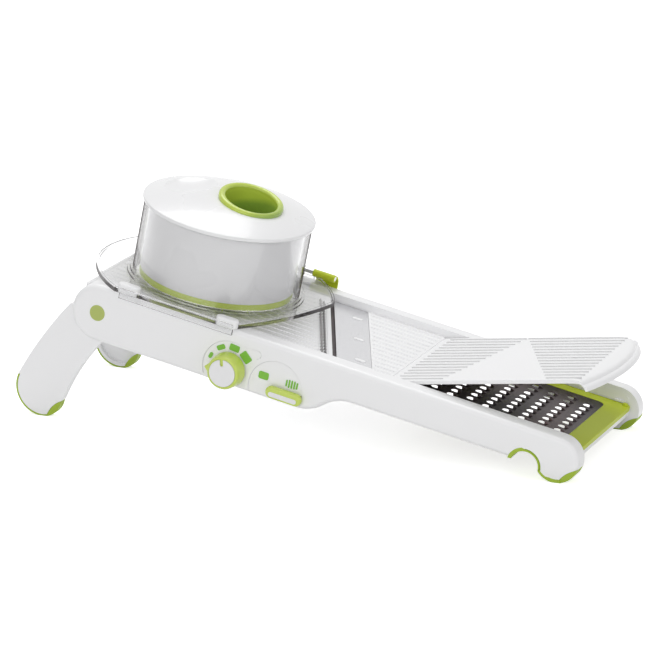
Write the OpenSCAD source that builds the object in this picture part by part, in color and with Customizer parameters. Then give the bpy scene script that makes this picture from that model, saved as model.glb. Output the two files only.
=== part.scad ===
// Mandoline slicer: tilted rail frame on a folding leg, adjustable ramp, diagonal blade,
// julienne comb, sliding drum carriage with pusher, hinged run-off flap and slide-in grater.
// Millimetres. Everything is drawn in the slicer's own frame (x down the rails, z off the deck,
// origin on the leg pivot), then tilted so that the feet stand on z = 0.

/* [Rails] */
// Clear width between the two rails
rail_gap = 109; // [100:1:112]
// Width of each rail
rail_w = 12.8; // [12:0.1:14]
// Rail top above the leg pivot
rail_top = 19.4; // [19:0.1:21]
// Deep part of the rail below the leg pivot
rail_drop = 19.9; // [19.5:0.1:21]
// Shallow part of the rail below the leg pivot
rail_shallow = 4.3; // [3:0.1:6]
// Length of the deep part, measured from the leg pivot
deep_len = 150; // [148:1:152]
// Run of the S-shaped step between the deep and shallow parts
bend_len = 38; // [36:0.5:40]
// Foot centre along the rail
foot_u = 333; // [331:0.1:336]
// Foot radius
foot_r = 15.2; // [14.2:0.1:15.6]
// Radius of the notch that sits on a bowl's rim
notch_r = 9.8; // [8:0.1:10.5]
// Notch centre below the leg pivot
notch_drop = 6.2; // [5:0.1:7]
// Wall thickness of the rail covers and side walls
wall = 2.4; // [2:0.1:2.6]
// Rounding of the rails' outer edges
edge_r = 4; // [2:0.1:4.5]
// Tilt of the rails when standing
tilt = 11.7; // [10:0.1:13]

/* [Leg] */
// Pivot to tip centre
leg_len = 73.8; // [72.5:0.1:74.5]
// Radius of the leg tip
tip_r = 19.8; // [18.5:0.1:20]
// Radius of the leg's pivot boss
boss_r = 16.6; // [14:0.1:16.7]
// Radius of the cross tube that joins both legs
tube_r = 6; // [4:0.1:6.5]
// Radius of the green pivot cap
cap_r = 5.5; // [5:0.1:6.5]
// Depth of the dished recess in the legs' inner faces
leg_dish = 3.2; // [2:0.1:4]

/* [Deck] */
// Deck surface above the leg pivot
deck_top = 14.4; // [14:0.1:15]
// Deck and ramp thickness
deck_t = 2.2; // [2:0.1:2.4]
// Front edge of the ramp, up-slope of the leg pivot
ramp_front = 13.5; // [12:0.1:14]
// Ramp hinge, up-slope of the leg pivot
ramp_pin_u = 9; // [8.5:0.1:10]
// Radius of the ramp's hinge pins
ramp_pin_r = 1.6; // [1.4:0.1:1.8]
// Blade edge on the centre line
blade_u = 145; // [144:0.5:147]
// Sweep of the diagonal blade along the deck per unit of width
blade_sweep = 0.449; // [0.40:0.001:0.46]
// Blade plate width along the deck
blade_w = 25.5; // [24:0.5:26]
// Gap that slices drop through
slot_w = 3; // [2.5:0.1:3.4]
// Spacing of the fine ribs on the food surfaces
rib_pitch = 7; // [6.5:0.1:7.5]
// Height of the fine ribs
rib_h = 0.5; // [0.3:0.1:0.7]
// Width of the fine ribs
rib_w = 1.3; // [1:0.1:2]

/* [Dial] */
// Dial axis along the rail
dial_u = 100; // [99:0.5:102]
// Dial axis below the leg pivot
dial_drop = 8; // [7:0.1:9]
// Dial skirt radius at the rail
dial_r = 12.2; // [11:0.1:12.5]
// Dial height off the rail
dial_h = 11; // [9:0.1:13]
// Radius of the dial's cross shaft
shaft_r = 4; // [3.5:0.1:4.2]
// Largest radius of the lifting cams
cam_r = 9.5; // [9:0.1:9.8]
// Fall of the cam surface over the dial's travel
cam_fall = 4.9; // [4:0.1:5]

/* [Julienne comb] */
// Spacing of the teeth in each row
tooth_pitch = 5; // [4:0.1:6]
// Tips of the teeth above the leg pivot when raised
tooth_top = 18.9; // [18:0.1:19]
// Thickness of one tooth
tooth_t = 0.8; // [0.6:0.1:1]
// Drop of the comb when switched off
comb_drop = 11; // [10:0.1:11]
// Travel of the switch along the rail
switch_travel = 16; // [15:0.1:16]

/* [Flap and grater] */
// Landing deck between the blade plate and the flap's hinge, at the near rail
landing = 11.8; // [11:0.1:13]
// Flap raised above the deck
flap_raise = 18.7; // [0:0.1:25]
// Hinge to the flap's end corners
flap_len = 138.5; // [137:0.1:140]
// Bow of the flap's end beyond its corners
flap_bow = 10.5; // [8:0.1:12]
// Depth of the lip at the flap's end
flap_lip = 9.5; // [6:0.1:10]
// Free end of the grater frame along the rails
grater_end = 342; // [338:0.5:342]
// Upper face of the grater frame
grater_top = 9.4; // [9:0.1:9.6]
// Thickness of the grater frame
grater_t = 4; // [3.5:0.1:4]
// Width of the grater frame's end border
grater_border = 15; // [12:0.5:18]
// Grater hole spacing across the rails
hole_pitch_v = 8.2; // [7.6:0.1:8.4]
// Grater hole spacing along the rails
hole_pitch_u = 12.8; // [12:0.1:13]
// Radius of each grater hole
hole_r = 2.8; // [2:0.1:3]

/* [Carriage and pusher] */
// Drum axis along the rails
drum_u = 53.5; // [52:0.5:55]
// Outer radius of the drum wall
drum_r = 57.5; // [56:0.1:58]
// Drum wall thickness
drum_t = 1.9; // [1.6:0.1:2]
// Top of the drum wall above the leg pivot
drum_top = 73.4; // [65:0.1:80]
// Carriage plate thickness
plate_t = 2.3; // [2:0.1:2.6]
// Radius of the carriage plate about the drum axis
plate_r = 82; // [80:0.5:83]
// Front edge of the carriage plate on the centre line
plate_end = 124; // [122:0.5:125]
// Side lip of the carriage plate below the rail tops
lip_drop = 3.4; // [2:0.1:4]
// Lid rim radius
lid_r = 59.2; // [58.5:0.1:60]
// Height of the lid's dome
dome_h = 10.3; // [8:0.1:11]
// Finger well centre down-slope of the drum axis
well_off = 13; // [12:0.5:14]
// Outer radius of the finger well's ring
well_r = 22.7; // [20:0.1:23]
// Inner radius of the finger well
well_in = 18.7; // [15:0.1:19]
// Depth of the finger well
well_depth = 38; // [25:1:42]

/* [Hidden] */
$fn = 96;
e = 0.02; // overrun of cuts
join = 0.05; // arcs stop this far short of the straights and faces that they run into
run = 0.06; // radial clearance of running shafts
gap = 0.4; // clearance between parts that move past each other
half_in = rail_gap / 2;
half_out = half_in + rail_w;
wall_out = half_in + wall; // outer face of the side walls
cover_in = half_out - wall; // inner face of the covers' outer walls
rail_h = rail_top + rail_drop;
rail_mid = (rail_top - rail_drop) / 2;
step_h = rail_drop - rail_shallow;
bend_r = (bend_len * bend_len + step_h * step_h) / (4 * step_h);
bend_mid = -(rail_drop + rail_shallow) / 2;
bend_turn = asin(bend_len / 2 / bend_r); // angle swept by each arc of the bend
foot_w = rail_top - foot_r - join;
notch_bite = 2.2; // overlap of the notch and the foot
notch_u = foot_u - sqrt(pow(foot_r + notch_r - notch_bite, 2) - pow(foot_w + notch_drop, 2));
pad_t = 1.8; // thickness of the soft lining in the notch
pad_thin = 1.4; // thickness of the soft lining round a foot or leg tip
patch_t = 4.5; // thickness of the patch at the rear end of each lining
patch_r = 20; // curve of its inner edge
foot_patch_at = -42; // direction of that patch
leg_patch_at = -32;
lining_rise = 10.4; // the leg's lining runs up to this far above the centre of its heel
lining_fit = 0.05; // clearance of the soft linings in their seats
floor_flat = 0.3; // depth of the flat worn on each pad
pivot_z = foot_r - floor_flat + foot_u * sin(tilt) - foot_w * cos(tilt);
leg_lean = acos((pivot_z + floor_flat - tip_r) / leg_len); // from the vertical
tip = leg_len * [-sin(leg_lean - tilt), -cos(leg_lean - tilt)];
leg_out = cover_in - 0.5;
leg_in = wall_out + 0.5;
heel_r = 14.3; // the leg's tip turns tighter on its rear side
heel = tip + (tip_r - heel_r + join) * [sin(tilt), -cos(tilt)];
leg_front_c = [228.3, -156.7]; // centres of the leg's front and rear edges
leg_front_r = norm(tip - leg_front_c) + tip_r - join;
leg_rear_c = [136.5, -104.5];
leg_rear_r = norm(heel - leg_rear_c) - heel_r + join;
leg_top = -0.6; // the arm starts this far below the pivot's level
leg_open = 96; // rail underside is open up to here for the folded leg
cap_t = 1.3;
stub_r = cap_r - 1.5;
deck_low = deck_top - deck_t;
ramp_pin_w = 10.2;
ramp_half = half_in - 0.7;
ribs = floor((half_in - 4) / rib_pitch);
bed = 4; // the blade overhangs its bed by this much
landing_t = 3.2; // thickness of the landing deck
blade_t = 1;
peg = [3.9, 1.85]; // half length and half width of the blade's oblong holes
peg_v = 35;
peg_back = 17.3;
dial_turn = 111.5;
cam_v = 36;
cam_wide = 4;
follower_gap = 1;
comb_back = 9.75; // comb centre line before the blade's edge
comb_half = 44;
comb_rows = 2.5; // spacing between the two rows of teeth
comb_slot = 3.6; // half width of the ramp's slot for the comb
comb_low = 3.2; // upper face of the comb's carrier
comb_pin = [deep_len - 18, -2];
comb_pin_r = 1.5;
post_v = 30;
post_w = 5;
post_len = 18;
arm_t = 4.8; // the comb's arm along the near wall
wedge = [28, 19]; // plate with the oblique slot that moves the comb
wedge_low = -16;
wedge_back = 6; // the wedge reaches this far up-slope of the pin
switch_c = [deep_len - 7.5, -12.7];
switch_len = 26;
switch_wide = 8.6;
switch_h = 4.6;
switch_neck = [6, 4.6];
neck_at = 8; // the neck stands this far down-slope of the slider's middle
panel_t = 0.5;
panel_c = [deep_len - 15.2, -11.5];
panel_r = 19.7;
dial_panel_r = 19.5;
flap_barrel = 2.2;
flap_u = blade_u + blade_sweep * half_in + blade_w + landing; // hinge along the rails
flap_w = deck_top - flap_barrel;
flap_t = 2.4;
flap_half = half_in - 0.9;
flap_pin_r = 1.2;
flap_bow_r = (pow(flap_half, 2) + pow(flap_bow, 2)) / (2 * flap_bow);
grater_start = flap_u + 2.7;
grater_half = half_in - 0.6;
grater_side = 10;
grater_low = grater_top - grater_t;
sheet_t = 0.6;
plate_low = rail_top + 0.4;
plate_top = plate_low + plate_t;
plate_half = half_out + gap + 1.8;
plate_front_r = 300; // bow of the plate's front edge
plate_skew = 14; // slant of that edge
drum_in = drum_r - drum_t;
drum_flange = 3.6;
runner = [16, 7];
runner_in = 2.4; // runner centre line inside the rail's outer face
runner_low = rail_top + 0.2;
near_runners = [18.8, 91.8];
far_runners = [32, 72];
rod_v = 61;
rod_w = plate_top + 5;
rod_r = 1.7;
hook_r = 3.3;
hook_len = 15.5;
rod_ends = [-10, 116];
skirt_r = drum_in - 1.1;
skirt_low = 27;
lid_low = drum_top + 0.4;
lid_rim = 2.6;
lid_t = 2.2;
dome_r = (lid_r * lid_r + dome_h * dome_h) / (2 * dome_h);
dome_c = lid_low + lid_rim + dome_h - dome_r;
well_tilt = 4.3;
well_top = dome_c + sqrt(dome_r * dome_r - well_off * well_off);
scoop = [-34.5, 13, 62]; // finger scoop: offset from the drum axis, profile radius, sweep radius
scoop_depth = 4.6;
hook_out = half_out + gap + 2.2;
x_low = tip[0] * cos(tilt) + tip[1] * sin(tilt) - tip_r;
x_high = flap_u * cos(tilt) + flap_w * sin(tilt) + (flap_len + flap_bow) * cos(tilt - flap_raise);
origin_x = -(x_low + x_high) / 2;
origin_y = (half_out + gap + dial_h + 0.5 - hook_out) / 2;

white = [0.94, 0.94, 0.95];
green = [0.70, 0.80, 0.35];
lining = [0.60, 0.72, 0.20];
clear = [0.85, 0.88, 0.90, 0.35];
steel = [0.80, 0.80, 0.82];

// ---- frames and helpers ----

module slicer() {
    translate([origin_x, origin_y, pivot_z]) rotate([0, tilt, 0]) children();
}

// a side profile (along the rail, up) spread across the rails from a to b on the far side
module slab(a, b) {
    translate([0, b, 0]) rotate([90, 0, 0]) linear_extrude(b - a) children();
}

module near_side() {
    mirror([0, 1, 0]) children();
}

// a disc profile on an axis across the rails
module across(u, w, r, a, b) {
    slab(a, b) translate([u, w]) circle(r = r);
}

function blade_line(v) = blade_u - blade_sweep * v;

// a band of the deck parallel to the blade, from a to b behind its edge
module diagonal(a, b, half) {
    polygon([[blade_line(-half) + a, -half], [blade_line(-half) + b, -half],
        [blade_line(half) + b, half], [blade_line(half) + a, half]]);
}

// a pill: two round ends joined by a straight
module pill(length, width) {
    straight = length - width;
    square([straight, width], center = true);
    for (s = [-1, 1]) translate([s * straight / 2, 0]) circle(d = width);
}

module keep_off_floor() {
    difference() {
        children();
        translate([-foot_u, -rail_gap, -foot_r]) cube([2 * foot_u, 2 * rail_gap, foot_r]);
    }
}

// ---- rails ----

module rail_outline(i = 0) {
    difference() {
        union() {
            translate([0, rail_mid]) circle(r = rail_h / 2 - join - i);
            translate([0, i - rail_drop]) square([deep_len, rail_h - 2 * i]);
            intersection() {
                translate([deep_len, bend_r - rail_drop]) circle(r = bend_r - join - i);
                translate([deep_len - e, -rail_drop]) square([bend_len, rail_h / 2]);
            }
            translate([deep_len - e, bend_mid]) square([bend_len + e, rail_top - i - bend_mid]);
            translate([deep_len, i - rail_shallow])
                square([foot_u - deep_len, rail_top + rail_shallow - 2 * i]);
            translate([foot_u, foot_w]) circle(r = foot_r - i);
        }
        translate([deep_len + bend_len, -rail_shallow - bend_r]) circle(r = bend_r - join + i);
        translate([notch_u, -notch_drop]) circle(r = notch_r + i);
    }
}

// lens-shaped patch of soft lining on the rim of a disc of radius r
module lining_patch(r, at, i = 0) {
    intersection() {
        circle(r = r + 1);
        rotate(at) translate([r - patch_t + patch_r, 0]) circle(r = patch_r - i);
    }
}

// region of the rails taken by the soft lining of the notch and of the foot
module foot_lining_region(i = 0) {
    translate([foot_u, foot_w]) {
        difference() {
            translate([-foot_r, -foot_r - 1]) square([foot_r, foot_r - notch_drop - i]);
            circle(r = foot_r - pad_thin + i);
        }
        rotate(-90) difference() {
            translate([0, -e]) square([foot_r + 1, foot_r * sin(45) - i]);
            circle(r = foot_r - pad_thin + i);
        }
        lining_patch(foot_r, foot_patch_at, i);
    }
    translate([notch_u, -notch_drop]) circle(r = notch_r + pad_t - i);
}

module hard_rail_outline() {
    difference() {
        rail_outline();
        foot_lining_region();
    }
}

// quarter-round cutter along a straight edge on the rail's outer face
module round_bar(length) {
    rotate([0, 90, 0]) linear_extrude(length) difference() {
        translate([-1, -1]) square(edge_r + 1);
        translate([edge_r, edge_r]) circle(r = edge_r + join);
    }
}

// quarter-round cutter along an arc of radius r; out = 1 for outer edges, -1 for hollow ones
module round_arc(r, from, sweep, out = 1) {
    rotate([0, 0, from]) rotate_extrude(angle = sweep) difference() {
        translate([out > 0 ? r - edge_r : r - 1, -1]) square(edge_r + 1);
        translate([r - out * edge_r, edge_r]) circle(r = edge_r + join);
    }
}

// all of the outer face's edges, drawn on the far rail
module rail_rounding() {
    translate([0, half_out, 0]) {
        translate([-1, 0, rail_top]) mirror([0, 1, 0]) round_bar(foot_u + 2);
        translate([-1, 0, -rail_drop]) mirror([0, 1, 0]) mirror([0, 0, 1]) round_bar(deep_len + 1);
        translate([deep_len + bend_len, 0, -rail_shallow]) mirror([0, 1, 0]) mirror([0, 0, 1])
            round_bar(notch_u - notch_r - deep_len - bend_len);
        translate([0, 0, rail_mid]) rotate([90, 0, 0]) round_arc(rail_h / 2 - join, 92, 176);
        translate([deep_len, 0, bend_r - rail_drop]) rotate([90, 0, 0])
            round_arc(bend_r - join, -90.5, bend_turn + 1);
        translate([deep_len + bend_len, 0, -rail_shallow - bend_r]) rotate([90, 0, 0])
            round_arc(bend_r - join, 89.5, bend_turn + 1, -1);
        translate([foot_u, 0, foot_w]) rotate([90, 0, 0]) round_arc(foot_r, -20, 108);
    }
}

module rail_cover() {
    difference() {
        slab(wall_out, half_out) hard_rail_outline();
        slab(wall_out - 1, cover_in) {
            intersection() {
                rail_outline(wall);
                square([4 * foot_u, 2 * rail_h], center = true);
            }
            translate([-rail_h, -rail_h]) square([rail_h + leg_open, rail_h]);
        }
        rail_rounding();
        across(0, 0, stub_r + run, wall_out, half_out + 1);
        across(0, 0, cap_r + 0.02, half_out - cap_t, half_out + 1);
    }
    // post that backs the foot
    slab(wall_out, cover_in) translate([foot_u, foot_w]) circle(r = 4);
}

module near_cover() {
    color(white) slicer() near_side() difference() {
        rail_cover();
        across(dial_u, -dial_drop, shaft_r + run, wall_out, half_out + 1);
        slab(half_out - panel_t, half_out + 1) {
            difference() {
                union() {
                    translate([dial_u, -dial_drop]) circle(r = dial_panel_r);
                    translate([dial_u, -dial_drop]) square([18, dial_panel_r - 0.6]);
                    translate([dial_u + 18, dial_panel_r - dial_drop - 3.6]) circle(r = 3);
                }
                translate(panel_c) circle(r = panel_r + 2);
            }
            translate(panel_c) circle(r = panel_r);
        }
        slab(cover_in - 1, half_out + 1) translate(switch_c + [neck_at - switch_travel / 2, 0])
            square([switch_neck[0] + switch_travel + 2 * gap, switch_neck[1] + 2 * gap], center = true);
    }
}

module far_cover() {
    color(white) slicer() rail_cover();
}

module foot_pad() {
    slab(half_in, half_out - 0.6) intersection() {
        rail_outline();
        foot_lining_region(lining_fit);
    }
}

module near_foot_pad() {
    color(lining) keep_off_floor() slicer() near_side() foot_pad();
}

module far_foot_pad() {
    color(lining) keep_off_floor() slicer() foot_pad();
}

module pivot_cap() {
    across(0, 0, cap_r, half_out - cap_t + e, half_out + 0.2);
}

module near_pivot_cap() {
    color(green) slicer() near_side() pivot_cap();
}

module far_pivot_cap() {
    color(green) slicer() pivot_cap();
}

// ---- side walls, landing deck and cross members ----

module grater_rails() {
    rail_len = grater_end - 8 - grater_start;
    translate([grater_start, half_in - 4, grater_low - 2.1]) cube([rail_len, 4 + e, 1.8]);
    for (u = [grater_start + 10, grater_end - 12])
        translate([u, half_in - 1.6, grater_top + 0.3]) cube([8, 1.6 + e, 1.2]);
    across(grater_end - 4, grater_top + 3.4, 1.6, half_in - 0.5, half_in + e);
}

// inner wall of a rail, with the ledges that the grater runs on
module side_wall() {
    slab(half_in, wall_out) difference() {
        hard_rail_outline();
        circle(r = tube_r + run);
        translate([-ramp_pin_u, ramp_pin_w]) circle(r = ramp_pin_r + run);
        translate([dial_u, -dial_drop]) circle(r = shaft_r + run);
        translate([flap_u, flap_w]) circle(r = flap_pin_r + run);
    }
    grater_rails();
}

module near_wall() {
    color(white) slicer() near_side() difference() {
        side_wall();
        // slot for the comb's pin
        slab(half_in - 1, wall_out + 1) translate([comb_pin[0], comb_pin[1] - comb_drop / 2])
            square([2 * (comb_pin_r + gap), comb_drop + 2 * (comb_pin_r + gap)], center = true);
    }
}

module far_wall() {
    color(white) slicer() side_wall();
}

// deck behind the blade, with its fine ribs and the pegs that hold the blade
module landing_deck() {
    deck_end = flap_u - flap_barrel - 0.8;
    color(white) slicer() {
        difference() {
            translate([0, 0, deck_top - landing_t]) linear_extrude(landing_t) polygon([
                [blade_line(-half_in) + bed, -half_in], [deck_end, -half_in],
                [deck_end, half_in], [blade_line(half_in) + bed, half_in]]);
            translate([0, 0, deck_top - blade_t - 0.05]) linear_extrude(blade_t + 1)
                diagonal(0, blade_w + 0.3, half_in + 1);
        }
        for (k = [-ribs:ribs]) let (v = k * rib_pitch, u = blade_line(v) + blade_w + 2)
            translate([u, v - rib_w / 2, deck_top - e]) cube([deck_end - 1 - u, rib_w, rib_h + e]);
        for (v = [-peg_v, 0, peg_v]) translate([blade_line(v) + peg_back, v, deck_top - blade_t - 1])
            linear_extrude(blade_t + 1.3) pill(2 * peg[0] - 0.4, 2 * peg[1] - 0.4);
        // web below the deck's end
        translate([deck_end - 3, -half_in, 0]) cube([3, rail_gap, deck_low]);
    }
}

module front_bar() {
    color(white) slicer() translate([-ramp_front - 3.6, -half_in, 2]) cube([2.9, rail_gap, 11.8]);
}

module foot_bar() {
    color(white) slicer() translate([grater_end - 8, -half_in, grater_low - 3.9])
        cube([7.5, rail_gap, 3.6]);
}

// bridge under the blade that guides the comb's two posts
module comb_bridge() {
    color(white) slicer() translate([0, 0, 0.4 - rail_drop]) linear_extrude(3.5) difference() {
        diagonal(-comb_back - 6, -comb_back + 6, half_in);
        for (v = [-post_v, post_v]) translate([blade_line(v) - comb_back, v])
            square(post_w + 2 * gap, center = true);
    }
}

module blade_plate() {
    color(steel) slicer() difference() {
        translate([0, 0, deck_top - blade_t]) linear_extrude(blade_t) difference() {
            diagonal(0, blade_w, half_in - 1);
            for (v = [-peg_v, 0, peg_v]) translate([blade_line(v) + peg_back, v])
                pill(2 * peg[0], 2 * peg[1]);
            translate([blade_line(-half_in + 1) + blade_w, -half_in + 1]) rotate(-30)
                square(8, center = true);
        }
        // ground edge
        translate([blade_u, 0, deck_top - blade_t]) rotate([0, 0, atan(blade_sweep)])
            rotate([0, -22, 0]) translate([-6, -70, -6]) cube([7, 140, 6]);
    }
}

// ---- printed marks ----

module dial_marks() {
    color(green) slicer() near_side() slab(half_out - panel_t, half_out - 0.1)
        for (k = [0:3]) translate([dial_u, -dial_drop]) rotate(160 - 37.2 * k)
            translate([15.2 + k * 0.2, 0]) square([2.2 + 1.2 * k, 4.8 + 1.1 * k], center = true);
}

module switch_marks() {
    color(green) slicer() near_side() slab(half_out - panel_t, half_out - 0.1) {
        translate(switch_c + [-17.5, 8.1]) square([7, 5], center = true);
        for (k = [-2:2]) translate(switch_c + [3.1 + 1.9 * k, 8.3]) square([1.1, 5.4], center = true);
    }
}

// ---- folding leg ----

// rounded end of the leg: a wide toe on its front side, a tighter heel on its rear side
module leg_end(i = 0) {
    intersection() {
        translate(tip) circle(r = tip_r - i);
        translate([tip[0] - 2 * tip_r, heel[1] - 2 * tip_r]) square([2 * tip_r + 4, 4 * tip_r]);
    }
    translate(heel) circle(r = heel_r - i);
}

module arm_outline(i = 0) {
    front = (tip - leg_front_c) / norm(tip - leg_front_c);
    rear = (leg_rear_c - heel) / norm(leg_rear_c - heel);
    circle(r = boss_r - i);
    leg_end(i);
    difference() {
        intersection() {
            translate(leg_front_c) circle(r = leg_front_r - i);
            polygon([tip + 2 * tip_r * front, tip, heel, heel + 2 * heel_r * rear, [13 - i, -12],
                [13 - i, leg_top - i], [-70, leg_top - i]]);
        }
        translate(leg_rear_c) circle(r = leg_rear_r + i);
    }
}

// region of the leg taken by its soft lining
module leg_lining_region(i = 0) {
    difference() {
        translate([tip[0] - 2 * tip_r, heel[1] - 2 * tip_r]) square([4 * tip_r, 2 * tip_r + lining_rise - i]);
        leg_end(pad_thin - i);
        translate(heel) rotate(leg_patch_at) square(3 * tip_r);
    }
    translate(heel) lining_patch(heel_r, leg_patch_at, i);
}

module leg_arm() {
    difference() {
        slab(leg_in, leg_out) difference() {
            arm_outline();
            leg_lining_region();
        }
        slab(leg_in - 1, leg_in + leg_dish) difference() {
            arm_outline(3.6);
            circle(r = boss_r + 2);
        }
    }
    across(0, 0, stub_r, leg_out - e, half_out - cap_t - 0.4);
    across(0, 0, tube_r, 0, leg_in + e);
}

module leg_frame() {
    color(white) slicer() {
        leg_arm();
        near_side() leg_arm();
    }
}

module leg_pad() {
    slab(leg_in, leg_out) intersection() {
        leg_end();
        leg_lining_region(lining_fit);
    }
}

module near_leg_pad() {
    color(lining) keep_off_floor() slicer() near_side() leg_pad();
}

module far_leg_pad() {
    color(lining) keep_off_floor() slicer() leg_pad();
}

// ---- thickness dial ----

module dial_knob() {
    color(green) slicer() near_side() translate([dial_u, half_out + gap, -dial_drop])
        rotate([-90, 0, 0]) difference() {
            union() {
                cylinder(r1 = dial_r, r2 = dial_r - 1.2, h = dial_h);
                // pointer
                rotate(-12) translate([-dial_r - 0.6, 0, 0]) rotate(45)
                    translate([-2, -2, 0]) cube([4, 4, dial_h - 3]);
            }
            translate([0, 0, dial_h - 1]) cylinder(r = dial_r - 2.2, h = 2);
        }
}

module dial_cap() {
    color(white) slicer() near_side() translate([dial_u, half_out + gap + dial_h - 1, -dial_drop])
        rotate([-90, 0, 0]) difference() {
            cylinder(r = dial_r - 2.25, h = 1.5);
            rotate(78) translate([-0.8, dial_r - 5.6, 0.5]) cube([1.6, 4, 2]);
        }
}

// radius of the cam at angle a from its top, falling over the dial's travel
function cam_at(a) = cam_r - cam_fall * max(0, min(1, a / dial_turn))
    + (a > dial_turn + 60 ? cam_fall * (a - dial_turn - 60) / (300 - dial_turn - 60) : 0);

module cam_shaft() {
    color(white) slicer() {
        translate([dial_u, 0, -dial_drop]) rotate([90, 0, 0])
            translate([0, 0, -wall_out]) cylinder(r = shaft_r, h = wall_out + half_out + gap);
        for (v = [-cam_v, cam_v]) slab(v - cam_wide / 2, v + cam_wide / 2)
            translate([dial_u, -dial_drop]) polygon([for (k = [-15:4:299])
                let (a = k) cam_at(a) * [-sin(a), cos(a)]]);
    }
}

// ---- ramp ----

module ramp() {
    color(white) slicer() {
        difference() {
            translate([0, 0, deck_low]) linear_extrude(deck_t) polygon([
                [-ramp_front, -ramp_half], [blade_line(-ramp_half) - slot_w, -ramp_half],
                [blade_line(ramp_half) - slot_w, ramp_half], [-ramp_front, ramp_half]]);
            translate([0, 0, deck_low - 1]) linear_extrude(deck_t + 2)
                diagonal(-comb_back - comb_slot, -comb_back + comb_slot, comb_half + 2.5);
        }
        for (k = [-ribs:ribs]) let (v = k * rib_pitch)
            translate([-ramp_front + 2, v - rib_w / 2, deck_top - e])
                cube([blade_line(v) - comb_back - 4.5 + ramp_front - 2, rib_w, rib_h + e]);
        for (s = [-1, 1]) {
            // side skirts with the hinge pins
            translate([-ramp_front, s * (ramp_half - 1.2) - 1.2, ramp_pin_w - 2])
                cube([70, 2.4, deck_low + e - ramp_pin_w + 2]);
            translate([-ramp_pin_u, s * (ramp_half + (wall_out - ramp_half) / 2 - 0.4), ramp_pin_w])
                rotate([90, 0, 0]) cylinder(r = ramp_pin_r, h = wall_out - ramp_half, center = true);
            // ribs that ride on the cams
            translate([dial_u - 9, s * cam_v - 1.2, cam_r - dial_drop + follower_gap])
                cube([18, 2.4, deck_low + e - cam_r + dial_drop - follower_gap]);
        }
    }
}

// ---- julienne switch and comb ----

module switch_slider() {
    color(green) slicer() near_side() {
        slab(half_out + gap, half_out + gap + switch_h - 0.9) translate(switch_c)
            pill(switch_len, switch_wide);
        slab(half_out + gap, half_out + gap + switch_h) translate(switch_c)
            pill(switch_len - 1.8, switch_wide - 1.8);
        slab(wall_out + 3.2, half_out + gap + e) translate(switch_c + [neck_at, 0])
            square(switch_neck, center = true);
    }
}

module switch_inlay() {
    color(white) slicer() near_side()
        slab(half_out + gap + switch_h, half_out + gap + switch_h + 0.4)
        translate(switch_c - [0, 0.9]) pill(switch_len - 5, 3.4);
}

module switch_wedge() {
    slot_run = sqrt(pow(switch_travel, 2) + pow(comb_drop, 2));
    color(white) slicer() near_side() slab(wall_out + gap, wall_out + 3.2) difference() {
        translate([comb_pin[0] - wedge_back, wedge_low]) square(wedge);
        translate(comb_pin + [switch_travel, -comb_drop] / 2) rotate(-atan(comb_drop / switch_travel))
            pill(slot_run + 2 * (comb_pin_r + gap), 2 * (comb_pin_r + gap));
    }
}

module comb_holder() {
    color(white) slicer() {
        translate([0, 0, comb_low - 3.4]) linear_extrude(3.4)
            diagonal(-comb_back - 3.6, -comb_back + 3.6, half_in - 4.5);
        for (v = [-post_v, post_v])
            translate([blade_line(v) - comb_back - post_w / 2, v - post_w / 2, -post_len])
                cube([post_w, post_w, post_len]);
        // arm along the near wall that carries the pin
        translate([comb_pin[0] - 3, -half_in + 0.8, comb_pin[1] - arm_t / 2])
            cube([blade_line(-half_in) - comb_back - comb_pin[0] + 2, arm_t, arm_t]);
        near_side() across(comb_pin[0], comb_pin[1], comb_pin_r, half_in - 3, wall_out + 3);
    }
}

// one tooth: a thin pointed blade that cuts down-slope
module tooth(v, row) {
    u = blade_line(v) - comb_back + row;
    translate([0, v, 0]) slab(-tooth_t / 2, tooth_t / 2) polygon([[u - 1, comb_low], [u + 1, comb_low],
        [u + 1, tooth_top - 2.2], [u - 0.2, tooth_top], [u - 1, tooth_top - 2.2]]);
}

module julienne_comb() {
    color(steel) slicer() {
        translate([0, 0, comb_low]) linear_extrude(0.8)
            diagonal(-comb_back - 2.6, -comb_back + 2.6, comb_half + 1.5);
        for (v = [-comb_half:tooth_pitch:comb_half]) tooth(v, -comb_rows / 2);
        for (v = [-comb_half + tooth_pitch / 2:tooth_pitch:comb_half]) tooth(v, comb_rows / 2);
    }
}

// ---- carriage ----

// a disc about the drum, trimmed along both rails and by a slanted, barely bowed front edge
module plate_outline(i = 0) {
    intersection() {
        translate([drum_u, 0]) circle(r = plate_r - i);
        square([8 * plate_r, 2 * (plate_half - i)], center = true);
        translate([plate_end, 0] - plate_front_r * [cos(plate_skew), -sin(plate_skew)])
            circle(r = plate_front_r - i, $fn = 200);
    }
}

// rounded block seated in a window of the plate's edge, sliding on the rail's top
module runner_block(u, side) {
    translate([u, side * (half_out - runner_in), runner_low]) {
        linear_extrude(4.4) pill(runner[0], runner[1]);
        linear_extrude(5.4) pill(runner[0] - 2, runner[1] - 2);
    }
}

module runner_near_rear() {
    color(white) slicer() runner_block(near_runners[0], -1);
}

module runner_near_front() {
    color(white) slicer() runner_block(near_runners[1], -1);
}

module runner_far_rear() {
    color(white) slicer() runner_block(far_runners[0], 1);
}

module runner_far_front() {
    color(white) slicer() runner_block(far_runners[1], 1);
}

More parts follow.
